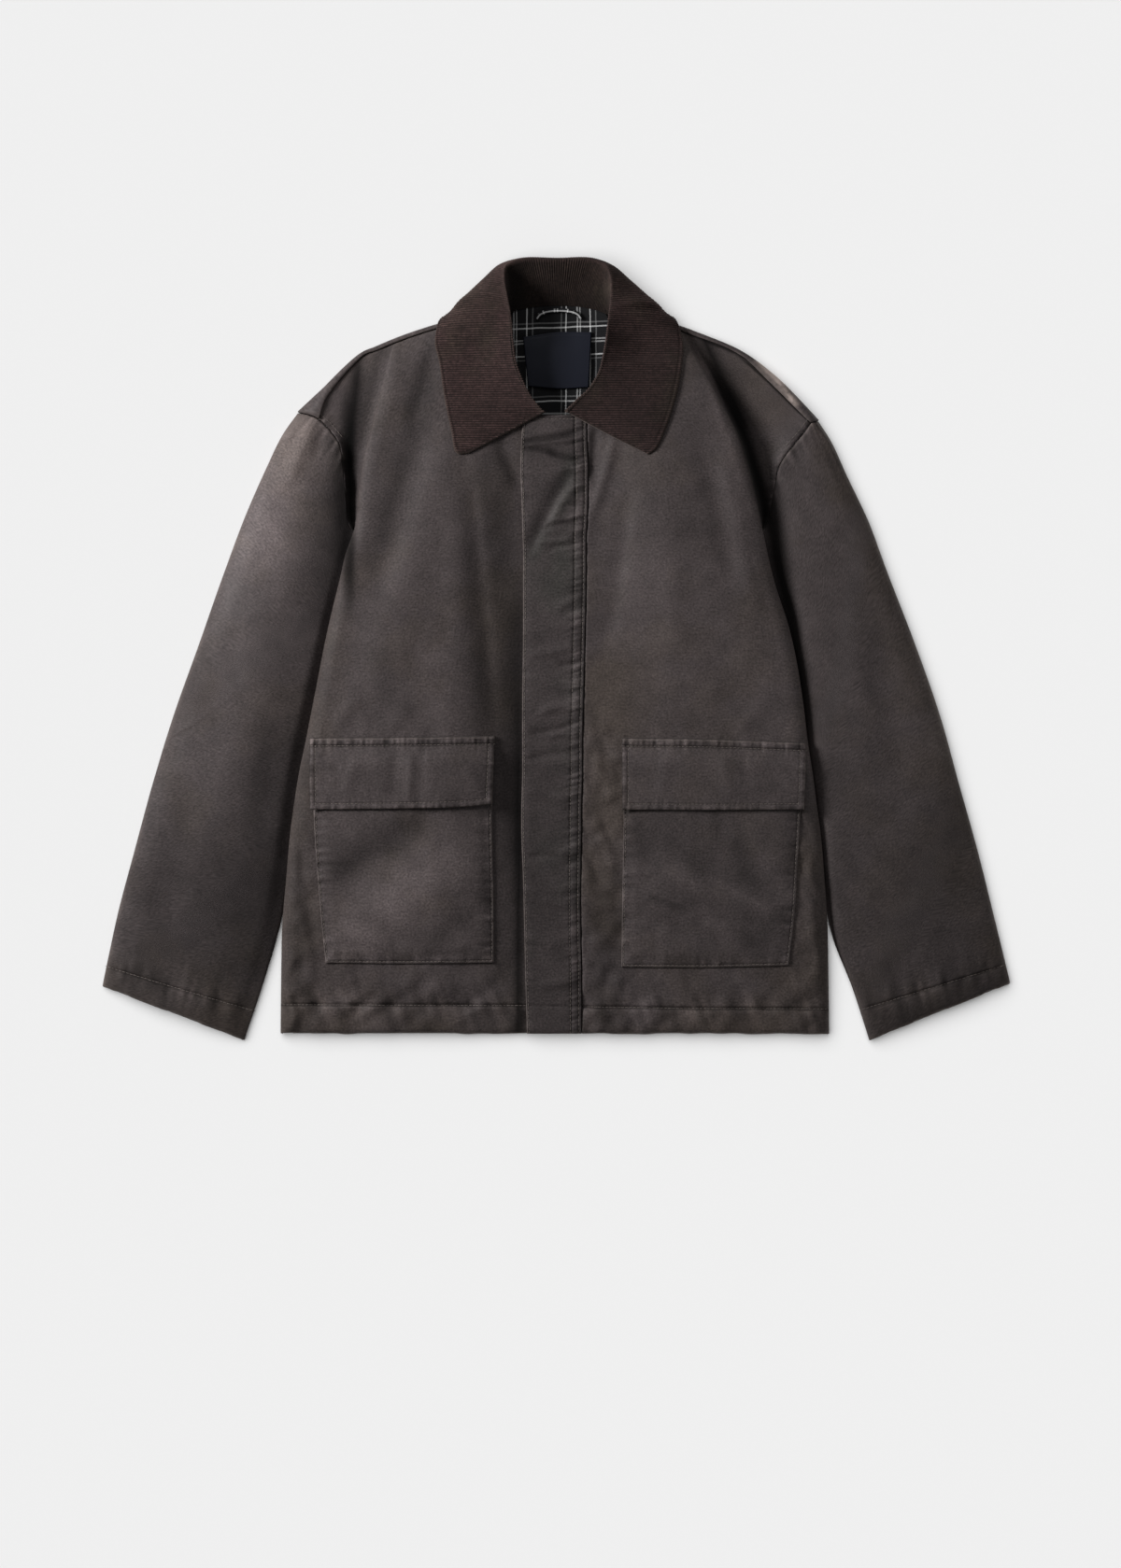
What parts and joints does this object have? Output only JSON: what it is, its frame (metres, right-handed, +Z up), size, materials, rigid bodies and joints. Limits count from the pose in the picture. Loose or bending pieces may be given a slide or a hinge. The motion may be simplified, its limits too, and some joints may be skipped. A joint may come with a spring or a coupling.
{
  "type": "waxed cotton jacket",
  "caption": "Boxy waxed cotton field jacket laid flat, fronts closed under a fly placket, with a corduroy collar, flapped patch pockets and a windowpane lining at the neck.",
  "frame": {"origin": "middle of the jacket's bounding box, on the surface it lies on", "axes": "+X from the wearer's right sleeve to the left one, +Y from the hem to the collar, +Z up out of the surface, through the front"},
  "size_m": [0.9146, 0.7858, 0.04],
  "materials": {
    "waxed_cotton": "matt waxed twill, dark brown-grey with olive and reddish patches and worn light edges",
    "corduroy": "fine-wale corduroy, dark red-brown",
    "plaid_lining": "matt brushed cotton, black with a thin white windowpane",
    "label_satin": "woven satin, blue-black, bare"
  },
  "bodies": {
    "root": {"back": "waxed_cotton", "front_right": "waxed_cotton", "front_left": "waxed_cotton", "sleeve_right": "waxed_cotton", "sleeve_left": "waxed_cotton", "placket": "waxed_cotton", "pocket_right": "waxed_cotton", "pocket_left": "waxed_cotton", "flap_right": "waxed_cotton", "flap_left": "waxed_cotton", "collar": "corduroy", "lining_back": "plaid_lining", "hanger_loop": "plaid_lining", "label": "label_satin"}
  },
  "joints": []
}
